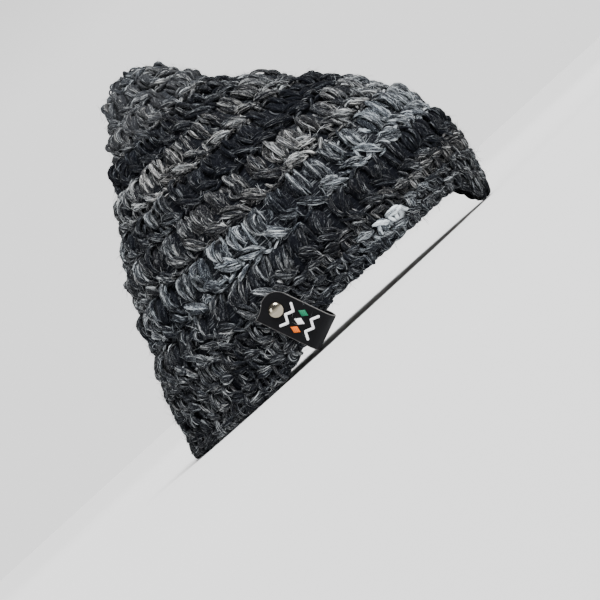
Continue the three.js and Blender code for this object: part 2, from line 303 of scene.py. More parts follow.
def yarn_tone_and_painted_light(name, theta):
    """Tone, partly painted light, and warmth of a round at an angle, read between the rows of its table and
    round past the back.

    The tone also sways by a few sine waves round the hat, in step nowhere. It is held at LIGHTEST, or at the
    table's own tone where that is paler."""
    degrees, tone, warmth = np.array(SHADES[name]).T
    turned = np.degrees(np.arctan2(np.sin(theta), np.cos(theta)))
    start = list(SHADES).index(name)
    waves = [np.sin(count * theta + start * count) for count in PATCH_WAVES]
    plain = np.interp(turned, degrees, tone, period=360)
    tone = np.minimum(plain * (1 + PATCH_STRENGTH * sum(waves)), np.maximum(plain, LIGHTEST))
    return tone, np.interp(turned, degrees, warmth, period=360)


@dataclass
class Bundle:
    """How the upright strands of a stitch lie. low and high are levels; width, lean and curl are shares of
    the stitch's pitch; proud and thick are lengths."""
    strands: int
    low: float
    high: float
    width: float
    lean: float
    curl: float
    proud: float
    thick: float


@dataclass
class Crossing:
    """How the strands lie that cross a stitch: level and slope are levels, reach a share of the pitch."""
    level: float
    slope: float
    reach: float
    spread: float
    proud: float
    thick: float


BEAN = Bundle(strands=6, low=0.41, high=1.02, width=0.40, lean=-0.02, curl=-0.10,
              proud=6.9 * MM, thick=1.5 * MM)
BEAN_CLOSING = Crossing(level=0.28, slope=0.34, reach=0.44, spread=0.075, proud=3.1 * MM, thick=1.4 * MM)
SINGLE = Bundle(strands=4, low=0.08, high=0.96, width=0.42, lean=-0.45, curl=-0.12,
                proud=3.7 * MM, thick=1.6 * MM)
SINGLE_TOP = Crossing(level=0.94, slope=0.30, reach=0.46, spread=0.11, proud=3.4 * MM, thick=1.6 * MM)

# How far strands lie under the wall's line at their ends, the least that an upright one stands proud, the
# thickest leaf at a bean's foot, and the body of fibre in each bean, which is fuller on the tip.
UPRIGHT_SINK = (-0.6 * MM, -1.8 * MM)
UPRIGHT_LEAST = 0.8 * MM
CLOSING_SINK = -1.4 * MM
FOUNDATION_SINK = -2.2 * MM
FOUNDATION_THICK = 1.25 * MM
CORE_SINK = -2.4 * MM
CORE_SWELL = 1.8 * MM
CORE_RISE = 2.4 * MM
TIP_CORE_RISE = 3.0 * MM
CORE_SIDES = 10

# The four leaves of the rim's edge: how far outside the rim's line and how high over it they lie, in mm,
# where their middle is, their thickness, and how far their ends slant, rise and draw together.
EDGE_OUT = (-0.2, -1.5, -3.3, -5.0)
EDGE_HEIGHT = (5.2, 2.6, 1.5, 2.6)
EDGE_MIDDLE = -2 * MM
EDGE_THICK = 1.5 * MM
EDGE_SLANT = 0.9 * MM
EDGE_RISE = 1.6 * MM
EDGE_TUCK = 1.2 * MM

# Threads on the strands, and loose hairs: thickness and length in mm, least height over the floor, and the
# steps and sides of both.
THREAD_THICK = (0.18, 0.3)
THREAD_CLEARANCE = 0.4 * MM
HAIR_THICK = (0.06, 0.10)
HAIR_LENGTH = (2.5, 8)
HAIR_CLEARANCE = 0.3 * MM
FINE_STEPS = 4
FINE_SIDES = 3

# The way round is measured at this level of each round. The pole that closes a strand lies this many radii
# past its end, and luck moves a strand's streaks by this many millimetres.
PLACING_LEVEL = 0.6
POLE_REACH = 0.6
LUCK_SHIFT = (61, 37, 83)


@dataclass
class Surface:
    """Points and faces of a mesh. fibre: round a strand and along it, in mm. yarn: tone, warmth and luck."""
    points: np.ndarray
    quads: np.ndarray
    triangles: np.ndarray
    fibre: np.ndarray
    yarn: np.ndarray


def join(surfaces):
    """Several surfaces as one, the corner numbers of each moved past those before it."""
    starts = np.cumsum([0] + [len(s.points) for s in surfaces])
    rows = [(s.points, s.quads + start, s.triangles + start, s.fibre, s.yarn)
            for s, start in zip(surfaces, starts)]
    return Surface(*[np.concatenate(column) for column in zip(*rows)])


def ring_quads(count, steps, closed=False):
    """The faces between a count of rings, each closed and of the same steps. When closed, the last ring also
    joins the first. Corners: a point, the next on its ring, and the two on the ring after."""
    ring, step = np.meshgrid(np.arange(count if closed else count - 1), np.arange(steps), indexing="ij")
    above = (ring + 1) % count
    beside = (step + 1) % steps
    corners = [ring * steps + step, ring * steps + beside, above * steps + beside, above * steps + step]
    return np.stack(corners, axis=-1).reshape(-1, 4)


def cap_faces(pole, start, steps):
    """The faces between a pole and the ring whose first point has the number start."""
    step = np.arange(steps)
    return np.stack([0 * step + pole, start + step, start + (step + 1) % steps], axis=-1)


def sweep(path, outward, radius, yarn, sides=6, rise=None, twist=0.12):
    """A closed tube round each of N paths of M points.

    Each ring is the path's point, plus the radius times the cosine of the turn along the side direction, plus
    the rise times its sine along the outward one. A pole just past each end closes the tube. twist is the
    turn of the fibres for each millimetre of length."""
    rise = radius if rise is None else rise
    count, steps = radius.shape
    along = unit(np.gradient(path, axis=1))
    side = unit(np.cross(along, outward))
    up = np.cross(side, along)
    turn = 2 * np.pi * np.arange(sides) / sides
    across = (radius[..., None] * np.cos(turn))[..., None] * side[:, :, None]
    over = (rise[..., None] * np.sin(turn))[..., None] * up[:, :, None]
    rings = (path[:, :, None] + across + over).reshape(count, steps * sides, 3)
    start = path[:, :1] - along[:, :1] * radius[:, :1, None] * POLE_REACH
    end = path[:, -1:] + along[:, -1:] * radius[:, -1:, None] * POLE_REACH
    points = np.concatenate([start, rings, end], axis=1)

    travelled = np.cumsum(np.linalg.norm(np.diff(path, axis=1, prepend=path[:, :1]), axis=2), axis=1) / MM
    turned = turn + twist * travelled[..., None]
    thick = radius[..., None] / MM
    lengths = np.broadcast_to(travelled[..., None], turned.shape)
    ring_fibre = np.stack([thick * np.cos(turned), thick * np.sin(turned), lengths], axis=-1)
    ring_fibre = ring_fibre.reshape(count, steps * sides, 3)
    pole_fibre = np.zeros((count, 2, 3))
    pole_fibre[:, 1, 2] = travelled[:, -1]
    offset = yarn[:, None, 2:] * LUCK_SHIFT
    fibre = np.concatenate([pole_fibre[:, :1], ring_fibre, pole_fibre[:, 1:]], axis=1) + offset

    quads = 1 + ring_quads(steps, sides)[:, [0, 3, 2, 1]]
    last = 1 + (steps - 1) * sides
    caps = np.concatenate([cap_faces(0, 1, sides), cap_faces(last + sides, last, sides)[:, [0, 2, 1]]])
    starts = np.arange(count)[:, None, None] * (steps * sides + 2)
    return Surface(
        points.reshape(-1, 3),
        (quads + starts).reshape(-1, 4),
        (caps + starts).reshape(-1, 3),
        fibre.reshape(-1, 3),
        np.repeat(yarn, steps * sides + 2, axis=0),
    )


def ring_stack(rings, fibre, yarn, closed):
    """A surface through R rings of C points each. When closed, the last ring joins the first, and otherwise
    the middle of the first ring and of the last one close it."""
    count, steps = rings.shape[:2]
    points = rings.reshape(-1, 3)
    fibre = fibre.reshape(-1, 3)
    triangles = np.zeros((0, 3), int)
    if not closed:
        poles = count * steps
        first = cap_faces(poles, 0, steps)[:, [0, 2, 1]]
        triangles = np.concatenate([first, cap_faces(poles + 1, poles - steps, steps)])
        points = np.concatenate([points, rings[:1].mean(axis=1), rings[-1:].mean(axis=1)])
        fibre = np.concatenate([fibre, fibre[:1], fibre[-1:]])
    quads = ring_quads(count, steps, closed)
    return Surface(points, quads, triangles, fibre, np.tile(yarn, (len(points), 1)))


def strand_yarn(rng, tone, warmth, spread, light_share):
    """One row for each strand: its tone, a little off the round's, with a few much lighter; warmth; luck."""
    lightest = np.maximum(tone, LIGHTEST)
    tone = tone * rng.uniform(1 - spread, 1 + spread, tone.shape) + rng.normal(0, 0.03, tone.shape)
    tone = tone + (0.1 + 0.25 * tone) * (rng.random(tone.shape) < light_share)
    warmth = warmth + rng.normal(0, 0.2, tone.shape)
    luck = rng.random(tone.shape)
    return np.stack([np.clip(tone, 0, lightest), np.clip(warmth, -1, 1), luck], axis=-1).reshape(-1, 3)


def spindle(steps, ends):
    """The thickness of a strand along its length: full in the middle, drawn in at both ends by a sine."""
    share = np.linspace(0, 1, steps)
    return ends + (1 - ends) * np.sin(np.pi * share) ** 0.6


def shaded_strands(rng, name, theta, path, outward, radius, spread, light_share):
    """The strands as rows of one list each, with the yarn of their round: path, outward, radius and yarn."""
    tone, warmth = yarn_tone_and_painted_light(name, theta.mean(axis=-1))
    yarn = strand_yarn(rng, tone, warmth, spread, light_share)
    steps = path.shape[-2]
    return path.reshape(-1, steps, 3), outward.reshape(-1, steps, 3), radius.reshape(-1, steps), yarn


def laid_strands(rng, name, foot, place, level, lift, radius, spread, light_share):
    """Strands drawn flat (place: share of the way round; level over the foot; lift) and laid on the wall."""
    theta = angle_at(foot + PLACING_LEVEL, place)
    path = on_wall(theta, foot + level, lift)
    path[..., 2] = np.maximum(path[..., 2], radius)
    outward = wall_normal(theta, foot + level)
    return shaded_strands(rng, name, theta, path, outward, radius, spread, light_share)


def upright_strands(rng, name, foot, stitches, bundle):
    """The upright bundle of each stitch: strands that spread from the foot like a bud and curl over, closer
    together, at the top. Level follows a half circle from foot to top; lift is its sine, fullest near the
    top, and falls off with the square of the strand's place in the fan. Some strands dive under their
    neighbours early, or come up late.

    Here and in the other stitches, rng.normal has the spreads and rng.uniform the ranges of uneven handwork,
    as shares of the stitch or as factors, for a whole stitch or for each strand."""
    pitch = ring_length(foot + 0.7) / stitches
    steps = 8
    share = np.linspace(0, 1, steps)
    arch = np.sin(np.pi * share)
    whole = (stitches, 1, 1)
    each = (stitches, bundle.strands, 1)
    stitch = np.arange(stitches)[:, None, None] + rng.normal(0, 0.09, whole)
    order = np.linspace(-1, 1, bundle.strands)[None, :, None]
    fan = mix(order + rng.normal(0, 0.22, each), order + rng.normal(0, 0.28, each), share)
    width = bundle.width * rng.uniform(0.82, 1.12, whole)
    lean = bundle.lean + rng.normal(0, 0.13, whole) + rng.normal(0, 0.05, each)
    curl = bundle.curl + rng.normal(0, 0.08, whole) + rng.normal(0, 0.05, each)
    hook = rng.normal(0.03, 0.12, each)
    dives = rng.random(each)
    shift = rng.normal(0, 0.05, whole)
    low = bundle.low + shift + rng.normal(0, 0.05, each) + 0.18 * (dives < 0.25)
    high = bundle.high + shift + rng.normal(-0.02, 0.05, each) - 0.25 * (dives > 0.75)
    level = (low + high) / 2 - (high - low) / 2 * np.cos(np.pi * share)
    sideways = fan * width * (0.5 + 0.45 * arch) + lean * (share - 0.4) + curl * arch + hook * share ** 3
    bow = np.sin(np.pi * share ** 1.1) ** 0.85
    proud = bundle.proud * rng.uniform(0.82, 1.12, whole) * rng.uniform(0.85, 1.12, each)
    proud = np.maximum(proud * (1 - 0.75 * fan ** 2), UPRIGHT_LEAST)
    lift = mix(*UPRIGHT_SINK, share) + proud * bow - 0.27 * bundle.proud
    thick = min(bundle.thick, 0.125 * pitch) * rng.uniform(0.68, 1.12, each)
    radius = thick * spindle(steps, 0.4)
    place = (stitch + sideways) / stitches
    return laid_strands(rng, name, foot, place, level, lift, radius, spread=0.3, light_share=0.12)


def bean_cores(rng, name, foot, beans):
    """The body of fibre inside each bean: one soft, flattened bulb under its strands, from the foot to the
    top, that fills what shows between them. Its tone is CORE_SHADE times the square of a strand's, darker
    than
    the strands: painted shade between them."""
    pitch = ring_length(foot + 0.7) / beans
    steps = 7
    share = np.linspace(0, 1, steps)
    whole = (beans, 1, 1)
    bean = np.arange(beans)[:, None, None] + rng.normal(0, 0.06, whole)
    curl = rng.normal(-0.06, 0.03, whole)
    place = (bean + curl * np.sin(np.pi * share)) / beans
    level = mix(0.34, 1.02, share) + 0 * place
    full = spindle(steps, 0.35)
    lift = CORE_SINK + CORE_SWELL * np.sin(np.pi * share) ** 0.7 + 0 * place
    radius = 0.37 * pitch * full + 0 * place
    path, outward, radius, yarn = laid_strands(
        rng, name, foot, place, level, lift, radius, spread=0.2, light_share=0)
    # Painted shade: the core is darker than the strands, so the gaps between them look shaded.
    yarn[:, 0] = CORE_SHADE * yarn[:, 0] ** 2
    rise = TIP_CORE_RISE if foot >= TIP_FOOT else CORE_RISE
    return path, outward, radius, yarn, CORE_SIDES, rise * np.broadcast_to(full, radius.shape)


def closing_strands(rng, name, foot, stitches, crossing):
    """The loop that crosses each upright bundle: leaf-shaped strands that run over it and down, three times
    as far apart in the middle as at the ends. Their lift is a sine to the power 0.7."""
    pitch = ring_length(foot + 0.4) / stitches
    strands = 4
    steps = 7
    share = np.linspace(0, 1, steps)
    whole = (stitches, 1, 1)
    each = (stitches, strands, 1)
    stitch = np.arange(stitches)[:, None, None] + rng.normal(0.02, 0.06, whole)
    layer = np.linspace(-1, 1, strands)[None, :, None] + rng.normal(0, 0.25, each)
    reach = crossing.reach * rng.uniform(0.82, 1.15, whole) * rng.uniform(0.85, 1.1, each)
    slope = crossing.slope + rng.normal(0, 0.11, whole) + rng.normal(0, 0.06, each)
    middle = crossing.level + rng.normal(0, 0.05, whole) + rng.normal(0, 0.02, each)
    bow = np.sin(np.pi * share)
    sideways = mix(-reach, reach, share) + rng.normal(0, 0.06, each)
    level = middle + mix(slope, -slope, share) / 2 + layer * crossing.spread * (0.5 + bow)
    lift = CLOSING_SINK + crossing.proud * (1 - 0.2 * layer ** 2) * bow ** 0.7
    thick = min(crossing.thick, 0.1 * pitch) * rng.uniform(0.75, 1.2, each)
    radius = thick * spindle(steps, 0.35)
    place = (stitch + sideways) / stitches
    return laid_strands(rng, name, foot, place, level, lift, radius, spread=0.4, light_share=0.2)


def foundation_strands(rng, name, foot, beans):
    """The loops that the beans grow out of: slender leaves that lie along the groove, and between them some
    short, steep ones that climb into the beans."""
    pitch = ring_length(foot + 0.15) / beans
    leaves = 6
    steps = 7
    share = np.linspace(0, 1, steps)
    each = (beans, leaves, 1)
    steep = (np.arange(leaves) % 2)[None, :, None]
    bean = np.arange(beans)[:, None, None]
    middle = np.linspace(-0.45, 0.4, leaves)[None, :, None] + rng.normal(0, 0.09, each)
    slope = mix(rng.normal(-0.06, 0.1, each), rng.normal(0.1, 0.26, each), steep)
    reach = mix(rng.uniform(0.2, 0.34, each), rng.uniform(0.05, 0.14, each), steep)
    bow = np.sin(np.pi * share)
    sideways = middle + mix(-reach, reach, share)
    centre = mix(rng.normal(0.06, 0.05, each), rng.normal(0.2, 0.05, each), steep)
    level = centre + mix(slope, -slope, share) / 2 + rng.normal(0, 0.03, each) * bow
    lift = FOUNDATION_SINK + rng.uniform(1.4, 2.8, each) * MM * bow ** 0.8
    thick = min(FOUNDATION_THICK, 0.09 * pitch) * rng.uniform(0.7, 1.15, each)
    radius = thick * spindle(steps, 0.3)
    place = (bean + sideways) / beans
    return laid_strands(rng, name, foot, place, level, lift, radius, spread=0.4, light_share=0.12)


def edge_strands(rng, name):
    """The chained edge of the rim: leaves that lie along it, outside, below and inside, each pair passing
    under the next. out is level, from the rim's own line, and height is above it. They stand on the floor
    where the rim does: the lowest is its own thickness above it."""
    steps = 8
    share = np.linspace(0, 1, steps)
    bow = np.sin(np.pi * share)
    out = np.array(EDGE_OUT)[None, :, None] * MM
    height = np.array(EDGE_HEIGHT)[None, :, None] * MM
    each = (EDGE_LOOPS, len(EDGE_OUT), 1)
    loop = np.arange(EDGE_LOOPS)[:, None, None] + rng.normal(0, 0.05, each)
    sideways = mix(-0.66, 0.66, share) * rng.uniform(0.85, 1.1, each)
    place = (loop + sideways) / EDGE_LOOPS
    radius = EDGE_THICK * rng.uniform(0.8, 1.0, each) * spindle(steps, 0.35)
    theta = angle_at(0.0, place)
    path = wall_point(theta, 0.0)
    outward = unit(wall_normal(theta, 0.0 * theta) * (1, 1, 0))
    slant = mix(-EDGE_SLANT, EDGE_SLANT, share) * rng.uniform(-0.2, 1, each)
    tuck = EDGE_TUCK * (bow - 1) * np.sign(out - EDGE_MIDDLE)
    path = path + outward * (out + tuck)[..., None]
    path[..., 2] += np.maximum(height + slant + EDGE_RISE * (1 - bow), radius)
    return shaded_strands(rng, name, theta, path, outward, radius, spread=0.4, light_share=0.2)


def points_along(paths, share):
    """A point on each path at each share of its length, read between the path's own points."""
    steps = paths.shape[1]
    where = np.clip(share, 0, 1) * (steps - 1)
    before = np.minimum(where.astype(int), steps - 2)
    rows = np.arange(len(paths))[:, None]
    if paths.ndim == 2:
        return mix(paths[rows, before], paths[rows, before + 1], where - before)
    return mix(paths[rows, before], paths[rows, before + 1], (where - before)[..., None])


def surface_threads(rng, strands, many):
    """Thin light plies that lie on the strands: each follows its strand, just over the strand's radius from
    its middle, starts on the side that faces out, and turns slowly round it."""
    path, outward, radius, yarn = strands
    picked = rng.integers(0, len(path), int(len(path) * many))
    one = (len(picked), 1)
    first = rng.uniform(0.05, 0.5, one)
    share = first + rng.uniform(0.3, 0.45, one) * np.linspace(0, 1, FINE_STEPS)
    middle = points_along(path[picked], share)
    up = points_along(outward[picked], share)
    along = unit(np.gradient(middle, axis=1))
    side = unit(np.cross(along, up))
    up = np.cross(side, along)
    turn = rng.uniform(0.1, 0.9, one) * np.pi + rng.normal(0, 0.8, one) * share
    out = (points_along(radius[picked], share) * 1.02)[..., None]
    line = middle + out * (np.cos(turn)[..., None] * side + np.sin(turn)[..., None] * up)
    thick = rng.uniform(*THREAD_THICK, one) * MM * spindle(FINE_STEPS, 0.3)
    line[..., 2] = np.maximum(line[..., 2], THREAD_CLEARANCE)
    light = yarn[picked].copy()
    light[:, 0] = np.clip(light[:, 0] * 1.1 + rng.uniform(0.05, 0.4, len(picked)), 0, 0.9)
    return line, up, thick, light


def stray_fibres(rng, strands, count):
    """Loose hairs: each leaves a strand's surface along it and outwards, and bends back a little.
    Its line is a quadratic: the start, plus the way times the share, minus the bend times its square."""
    path, outward, radius, yarn = strands
    picked = rng.integers(0, len(path), count)
    share = np.linspace(0, 1, FINE_STEPS)[None, :, None]
    one = (count, 1, 1)
    begin = rng.uniform(0.1, 0.9, (count, 1))
    middle = points_along(path[picked], begin)
    ahead = points_along(path[picked], begin + 0.1) - middle
    up = points_along(outward[picked], begin)
    along = unit(ahead) * rng.choice([-1, 1], one)
    side = np.cross(along, up)
    start = middle + up * points_along(radius[picked], begin)[..., None] * 0.9
    way = unit(along + up * rng.uniform(0.15, 0.9, one) + side * rng.normal(0, 0.6, one))
    bend = up * rng.uniform(0, 0.5, one) + side * rng.normal(0, 0.3, one)
    length = rng.uniform(*HAIR_LENGTH, one) * MM
    line = start + length * (way * share - bend * share ** 2)
    line[..., 2] = np.maximum(line[..., 2], HAIR_CLEARANCE)
    thick = rng.uniform(*HAIR_THICK, (count, 1)) * MM * spindle(FINE_STEPS, 0.4)
    light = yarn[picked].copy()
    light[:, 0] = np.clip(light[:, 0] + rng.uniform(0.05, 0.5, count), 0, 0.9)
    return line, np.broadcast_to(up, line.shape), thick, light


def round_surfaces(rng, groups, threads, hairs):
    """The strands of a round with their surface threads, and its loose hairs, shared out over the groups."""
    strands = [sweep(*group) for group in groups]
    plies = [sweep(*surface_threads(rng, group, threads), sides=FINE_SIDES) for group in groups]
    hairs = int(hairs / len(groups))
    fuzz = [sweep(*stray_fibres(rng, group, hairs), sides=FINE_SIDES) for group in groups]
    return join(strands + plies), fuzz


def shape_rim(rings, theta):
    """Puts the wall's lower edge along the rim: rounded on the inside, and nowhere under its own foot."""
    rim = wall_point(theta, 0.0)
    out = wall_normal(theta, np.full(len(theta), 0.0))
    rings[0] = rim - out * RIM_INSET
    rings[-1] = rim - out * RIM_FLAT
    rings[-2] = rim - out * WALL_DEPTH
    rings[[0, -1], :, 2] = rim[:, 2] + RIM_RISE
    rings[-2, :, 2] = rings[0, :, 2] + RIM_ROUNDING
    rings[..., 2] = np.maximum(rings[..., 2], rings[0, :, 2])


def wall_tones(theta, levels, top):
    """Tones: WALL_SHADE times the square of the yarn's on the outer face, darker than the strands as painted
    shade in the gaps between them, and INSIDE_TONE on the inner one.
    """
    names = [list(SHADES)[min(int(level), top - 1)] for level in levels]
    # Painted shade: the outer face is darker than the strands, so the gaps between them look shaded.
    outer = WALL_SHADE * np.array([yarn_tone_and_painted_light(name, theta)[0] for name in names]) ** 2
    return np.array([outer, np.full(outer.shape, INSIDE_TONE)])


def wall_surface(foot, top, stitches):
    """The backing of the rounds between two grooves, darkened as painted shade where it shows between the
    strands, and their plain inner side.

    The outer face bulges by a half sine, to the power 0.7, in each round. The inner one has a low bump behind
    each stitch, that half sine times the square of a cosine round the hat. The tip's wall gets thinner
    towards its closed top."""
    columns = stitches * COLUMNS_PER_STITCH
    share = np.arange(columns) / columns
    theta = angle_at((foot + top) / 2, share)
    levels = np.linspace(foot, top, (top - foot) * WALL_STEPS + 1)
    half_sine = np.sin(np.pi * (levels - foot) % np.pi) ** 0.7
    closed_top = top == LAST_RING
    thinning = np.clip((LAST_RING - levels) / TIP_THINNING, 0.6, 1)
    depth = WALL_DEPTH * (thinning if closed_top else 1 + 0 * levels)
    bump = INNER_BUMP * half_sine[:, None] * np.cos(np.pi * stitches * share) ** 2
    outer_lift = (WALL_BULGE * half_sine - WALL_SINK)[:, None] + 0 * bump
    outer = [on_wall(theta, level, lift) for level, lift in zip(levels, outer_lift)]
    inner = [on_wall(theta, level, lift) for level, lift in zip(levels, bump - depth[:, None])]
    rings = np.array(outer + inner[::-1])
    if foot > 0:
        rings[[0, -1], :, 2] += PARTING
    else:
        shape_rim(rings, theta)
    tones = wall_tones(theta, levels, top)
    if closed_top:
        rings = np.roll(rings, len(levels), axis=0)
        tones = tones[::-1]
    else:
        rings[[len(levels) - 1, len(levels)], :, 2] -= PARTING
    length = ring_length((foot + top) / 2) / MM
    height = np.arange(len(rings))[:, None] * WALL_STREAK_STEP + 0 * share
    fibre = np.stack([height, 0.3 * height, share * length + 0 * height], axis=-1)
    surface = ring_stack(rings, fibre, (0, 0, 0.5), closed=not closed_top)
    surface.yarn[:tones.size, 0] = tones.ravel()
    return surface


def tag_frame():
    """Columns: across the tag, along it, out of the hat, and the middle of its fold."""
    rim = wall_point(TAG_ANGLE, 0.0)
    rise = wall_point(TAG_ANGLE, float(BAND_TOP)) - rim
    touch = rim + rise * (TAG_TOUCH_HEIGHT - rim[2]) / rise[2]
    back, front, half = GROOVES[BAND_TOP, 1:4]
    side = unit(np.array([np.cos(TAG_ANGLE) / ((front - back) / 2), np.sin(TAG_ANGLE) / half, 0]))
    level = np.array([-side[1], side[0], 0])
    out = unit(side * rise[2] - np.array([0, 0, 1]) * (rise @ side))
    up = np.cross(out, level)
    across = level * np.cos(TAG_LEAN) + up * np.sin(TAG_LEAN)
    along = -level * np.sin(TAG_LEAN) + up * np.cos(TAG_LEAN)
    drop = (touch[2] - TAG_FOLD_HEIGHT) / up[2]
    origin = touch - up * drop + level * TAG_SHIFT
    return np.stack([across, along, out, origin], axis=-1)


def on_tag(across, along, out):
    """A point of the tag in the hat's frame, after the leather has bent round the hat: it falls back by the
    square of its way round, over twice the hat's radius there."""
    level = across * np.cos(TAG_LEAN) - along * np.sin(TAG_LEAN) + TAG_SHIFT
    out = out - level ** 2 / (2 * HAT_RADIUS_AT_TAG)
    flat = np.stack(np.broadcast_arrays(across, along, out, np.ones(1)), axis=-1)
    return flat @ tag_frame().T


def tag_end(across):
    """How long a leaf is at a place across it: a shallow dip from the square back corner to the middle,
    then a quadratic curve, drawn towards the square corner, down to where the front corner begins."""
    half = TAG_WIDTH / 2
    share = np.clip((across + half) / half, 0, 1)
    back = mix(TAG_BACK_CORNER, TAG_LENGTH, share) - TAG_BACK_DIP * np.sin(np.pi * share)
    t = np.linspace(0, 1, 60)
    start, pull, end = (1 - t) ** 2, 2 * t * (1 - t), t ** 2
    curve_across = (start + pull) * half
    curve_along = start * TAG_FRONT_CORNER + (pull + end) * TAG_LENGTH
    front = np.interp(across, curve_across[::-1], curve_along[::-1])
    return np.where(across < 0, back, front)


def tag_surface():
    """One strip of leather folded round the rim: its middle sheet runs down the outer leaf, round a half
    ellipse and up the inner leaf, and both skins lie half its thickness from it, closer at the cut edges.
    In place of a tone and a warmth it has marks of the cut edge and of the worn fold."""
    half = TAG_WIDTH / 2
    across = half * np.sin(np.linspace(-np.pi / 2, np.pi / 2, 33))
    leaf = 1 - np.cos(np.linspace(0, np.pi / 2, 24))
    fold = np.linspace(0, np.pi, 22)[1:-1]
    middle = (TAG_OUTSIDE + TAG_INSIDE) / 2
    reach = (TAG_OUTSIDE - TAG_INSIDE + LEATHER) / 2
    deep = TAG_FOLD_DEPTH - LEATHER / 2
    ends = tag_end(across)[:, None]
    leaf_along = mix(ends, TAG_FOLD_DEPTH, leaf)

    def strip(outer_leaf, folded, inner_leaf):
        """Values of the outer leaf, the fold and the inner leaf in one row for each line across the tag."""
        shapes = (leaf_along.shape, (len(across), len(fold)), leaf_along.shape)
        rows = [np.broadcast_to(part, shape) for part, shape in zip((outer_leaf, folded, inner_leaf), shapes)]
        return np.concatenate(rows, axis=1)

    along = strip(leaf_along, TAG_FOLD_DEPTH - deep * np.sin(fold), leaf_along[:, ::-1])
    out = strip(middle + reach, middle + reach * np.cos(fold), middle - reach)
    slope_out = strip(1, np.cos(fold), -1)
    slope_along = strip(0, -np.sin(fold), 0)
    near_side = np.clip((half - np.abs(across)) / LEATHER_EDGE, 0, 1)[:, None]
    near_end = np.clip(np.abs(along - ends) / LEATHER_EDGE, 0, 1)
    full = mix(EDGE_FULLNESS, 1, np.sqrt(np.minimum(near_side, near_end)))
    skin = LEATHER / 2 * full
    side = across[:, None] + 0 * along
    outer = on_tag(side, along + skin * slope_along, out + skin * slope_out)
    inner = on_tag(side, along - skin * slope_along, out - skin * slope_out)
    loops = np.concatenate([outer, inner[:, ::-1]], axis=1)
    count, around = loops.shape[:2]
    quads = ring_quads(count, around)
    step = np.arange(along.shape[1] - 1)
    last = np.stack([step, step + 1, around - 2 - step, around - 1 - step], axis=-1)
    first = last[:, ::-1]
    last = last + (count - 1) * around
    edge = np.clip((0.93 - full) / 0.2, 0, 1)
    worn = strip(0, np.sin(fold), 0)
    marks = [np.concatenate([mark, mark[:, ::-1]], axis=1).ravel() for mark in (edge, worn, 0 * edge)]
    points = loops.reshape(-1, 3)
    return Surface(points, np.concatenate([quads, first, last]), np.zeros((0, 3), int), points / MM,
                   np.stack(marks, axis=-1))


def lathe_on_tag(profile, sides=72):
    """A profile of (radius, out) points turned round the rivet's axis."""
    radius, out = np.array(profile).T
    turn = 2 * np.pi * np.arange(sides) / sides
    across = radius[:, None] * np.cos(turn)
    along = RIVET_ALONG + radius[:, None] * np.sin(turn)
    flat = np.stack([across, along, out[:, None] + 0 * across, np.ones_like(across)], axis=-1)
    rings = flat @ tag_frame().T
    return ring_stack(rings, rings / MM, (0.5, 0, 0.5), closed=False)


def rivet_surface():
    """A low dome: a quarter superellipse from the rounded edge to the middle, closed under the edge."""
    seat = TAG_OUTSIDE + LEATHER - RIVET_SINK
    under = [(RIVET_RADIUS * 0.8, seat), (RIVET_RADIUS * 0.93, seat), (RIVET_RADIUS, seat + 0.3 * MM)]
    dome = [(RIVET_RADIUS * np.cos(turn) ** 0.9, seat + mix(RIVET_SKIRT, RIVET_HEIGHT, np.sin(turn)))
            for turn in np.linspace(0, np.pi / 2, 22)[:-1]]
    return lathe_on_tag(under + dome)


def embroidery_surface(lines, widths, height):
    """Raised satin stitch: a flat tube along each line on the leather, as wide as widths says."""
    across, along = np.moveaxis(np.array(lines), -1, 0)
    seat = TAG_OUTSIDE + LEATHER
    path = on_tag(across, along, np.full(across.shape, seat))
    outward = unit(on_tag(across, along, np.full(across.shape, seat + 1 * MM)) - path)
    luck = np.linspace(0.1, 0.9, len(lines))
    yarn = np.stack([np.full(len(lines), 0.5), np.zeros(len(lines)), luck], axis=-1)
    rise = np.full(across.shape, height)
    return sweep(path, outward, np.array(widths) / 2, yarn, sides=12, rise=rise, twist=0)


def zigzag(along, flip):
    """A line of even peaks across the tag: a triangle wave, upright or flipped."""
    share = np.linspace(0, 1, ZIGZAG_STEPS)
    wave = np.abs((share * ZIGZAG_TURNS) % 2 - 1) * 2 - 1
    across = mix(-ZIGZAG_REACH, ZIGZAG_REACH, share)
    return np.stack([across, along + flip * ZIGZAG_PEAK * wave], axis=-1) * MM


def diamond(across):
    """A diamond as a line up its middle, with its width at each point of the line."""
    share = np.linspace(-1, 1, 9)
    along = DIAMONDS_ALONG + share * DIAMOND_TALL / 2
    line = np.stack([np.full(along.shape, across), along], axis=-1) * MM
    return line, DIAMOND_WIDE * MM * np.clip(1 - np.abs(share), DIAMOND_POINT, 1)


class Quantity:
    """A number that varies over a surface: a shader socket on which Python's arithmetic adds Math nodes."""

    def __init__(self, finish, socket):
        self.finish = finish
        self.socket = socket

    def __add__(self, other):
        return self.finish.maths("ADD", self, other)

    __radd__ = __add__

    def __sub__(self, other):
        return self.finish.maths("SUBTRACT", self, other)

    def __rsub__(self, other):
        return self.finish.maths("SUBTRACT", other, self)

    def __mul__(self, other):
        return self.finish.maths("MULTIPLY", self, other)

    def __pow__(self, other):
        return self.finish.maths("POWER", self, other)

    def clipped(self):
        return self.finish.maths("ADD", self, 0.0, clamp=True)


